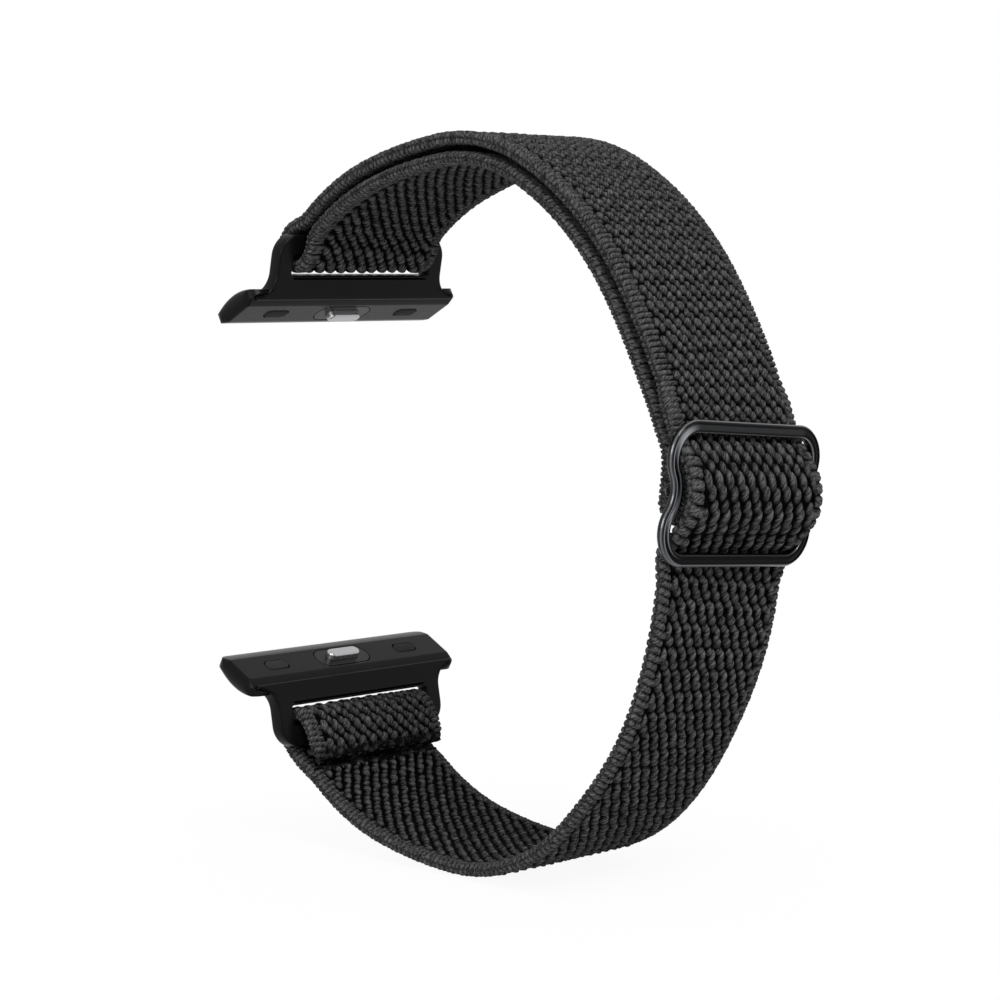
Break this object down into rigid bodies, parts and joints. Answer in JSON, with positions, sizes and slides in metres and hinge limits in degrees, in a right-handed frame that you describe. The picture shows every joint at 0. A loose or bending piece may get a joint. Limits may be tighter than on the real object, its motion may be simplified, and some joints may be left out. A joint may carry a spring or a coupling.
{
  "type": "elastic watch strap",
  "caption": "Woven elastic nylon watch strap, closed to a loop: metal slider, doubled upper half, and a slide-in lug adapter at each end.",
  "frame": {"origin": "centre of the bounding box of the strap, standing as a loop, at the middle of the webbing's width", "axes": "+X from the adapters towards the slider, +Y across the webbing, +Z from the lower adapter up to the upper one"},
  "size_m": [0.0628, 0.0304, 0.0754],
  "materials": {
    "webbing": "ribbed elastic nylon weave, charcoal",
    "thread": "black polyester thread",
    "slider_metal": "gloss black plating",
    "adapter_metal": "satin black coating",
    "lock_steel": "plain steel",
    "pad_rubber": "matte black"
  },
  "bodies": {
    "strap": {"lower_run": "webbing", "lower_stretch": "webbing", "lower_fold": "webbing", "outer_run": "webbing", "outer_stretch": "webbing", "inner_run": "webbing", "inner_stretch": "webbing", "upper_fold": "webbing", "fold_stitches": "thread"},
    "slider": {"slider_frame": "slider_metal", "slider_pass": "webbing", "end_loop": "webbing", "end_stitches": "thread"},
    "upper_adapter": {"upper_adapter_frame": "adapter_metal", "upper_lock_spring": "lock_steel", "upper_lock_cover": "adapter_metal", "upper_grip_pads": "pad_rubber"},
    "upper_lock_button": {"upper_lock_button": "lock_steel"},
    "lower_adapter": {"lower_adapter_frame": "adapter_metal", "lower_lock_spring": "lock_steel", "lower_lock_cover": "adapter_metal", "lower_grip_pads": "pad_rubber"},
    "lower_lock_button": {"lower_lock_button": "lock_steel"}
  },
  "joints": [
    {"name": "upper_adapter_hinge", "type": "hinge", "parent": "strap", "child": "upper_adapter", "pos_m": [-0.0246, 0, 0.02633], "axis": [0, 1, 0], "range_deg": [-20, 20]},
    {"name": "lower_adapter_hinge", "type": "hinge", "parent": "strap", "child": "lower_adapter", "pos_m": [-0.02466, 0, -0.02634], "axis": [0, -1, 0], "range_deg": [-20, 20]},
    {"name": "slider_travel", "type": "hinge", "parent": "strap", "child": "slider", "pos_m": [-0.0082, 0, 0.0027], "axis": [0, -1, 0], "range_deg": [-10, 10], "deforming": ["outer_stretch", "inner_stretch", "lower_stretch"]},
    {"name": "upper_lock_press", "type": "slide", "parent": "upper_adapter", "child": "upper_lock_button", "axis": [-0.4756, 0, 0.8796], "range_m": [0, 0.0006], "stiffness_N_per_m": 1500, "springref_m": -0.0003, "deforming": ["upper_lock_spring"]},
    {"name": "lower_lock_press", "type": "slide", "parent": "lower_adapter", "child": "lower_lock_button", "axis": [-0.4756, 0, -0.8796], "range_m": [0, 0.0006], "stiffness_N_per_m": 1500, "springref_m": -0.0003, "deforming": ["lower_lock_spring"]}
  ]
}
